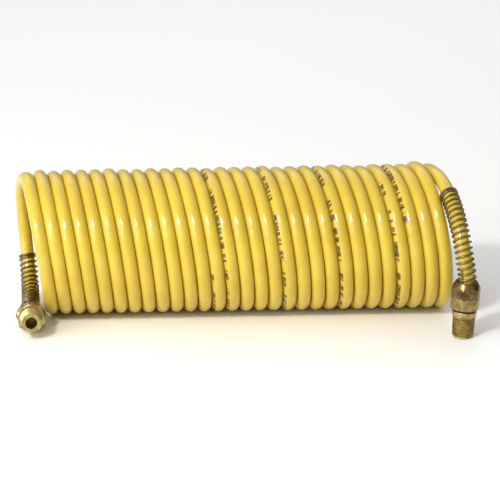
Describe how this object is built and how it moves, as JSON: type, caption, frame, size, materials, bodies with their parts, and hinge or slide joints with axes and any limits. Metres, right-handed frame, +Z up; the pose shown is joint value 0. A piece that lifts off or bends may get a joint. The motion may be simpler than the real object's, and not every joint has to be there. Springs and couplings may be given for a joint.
{
  "type": "coiled air hose",
  "caption": "Close-wound nylon air hose with spring guards, a rigid male pipe fitting on one end and a swivelling one on the other.",
  "frame": {"origin": "bottom centre of the whole hose's box, on the surface it rests on", "axes": "+X along the coil's axis from the supply end to the tool end, +Z up, both fittings come out towards -Y"},
  "size_m": [0.2828, 0.1118, 0.0892],
  "materials": {
    "hose_nylon": "smooth extruded yellow nylon, slightly translucent",
    "nut_brass": "turned from hexagon bar, as machined",
    "body_brass": "turned from hexagon bar, cut pipe thread",
    "sleeve_brass": "fine turned",
    "guard_steel": "dark drawn spring wire",
    "ring_steel": "phosphated spring steel",
    "seal_rubber": "moulded nitrile",
    "washer_acetal": "turned black acetal"
  },
  "bodies": {
    "supply_end": {"hose_coil": "hose_nylon", "hose_tail_supply": "hose_nylon", "guard_supply": "guard_steel", "nut_supply": "nut_brass", "ferrule_supply": "sleeve_brass", "insert_supply": "sleeve_brass", "male_body": "body_brass"},
    "tool_end": {"hose_tail_tool": "hose_nylon", "guard_tool": "guard_steel", "nut_tool": "nut_brass", "ferrule_tool": "sleeve_brass", "insert_tool": "sleeve_brass", "swivel_body": "body_brass", "retaining_ring": "ring_steel"},
    "swivel_stud": {"swivel_stud": "body_brass", "swivel_seal": "seal_rubber", "thrust_washer": "washer_acetal"}
  },
  "joints": [
    {"name": "coil_stretch", "type": "slide", "parent": "supply_end", "child": "tool_end", "axis": [1, 0, 0], "range_m": [0, 5.8], "stiffness_N_per_m": 3, "deforming": ["hose_coil"]},
    {"name": "tool_swivel", "type": "hinge", "parent": "tool_end", "child": "swivel_stud", "pos_m": [0.13101, -0.04723, 0.0003], "axis": [-0.0523, 0, -0.9986], "continuous": true}
  ]
}
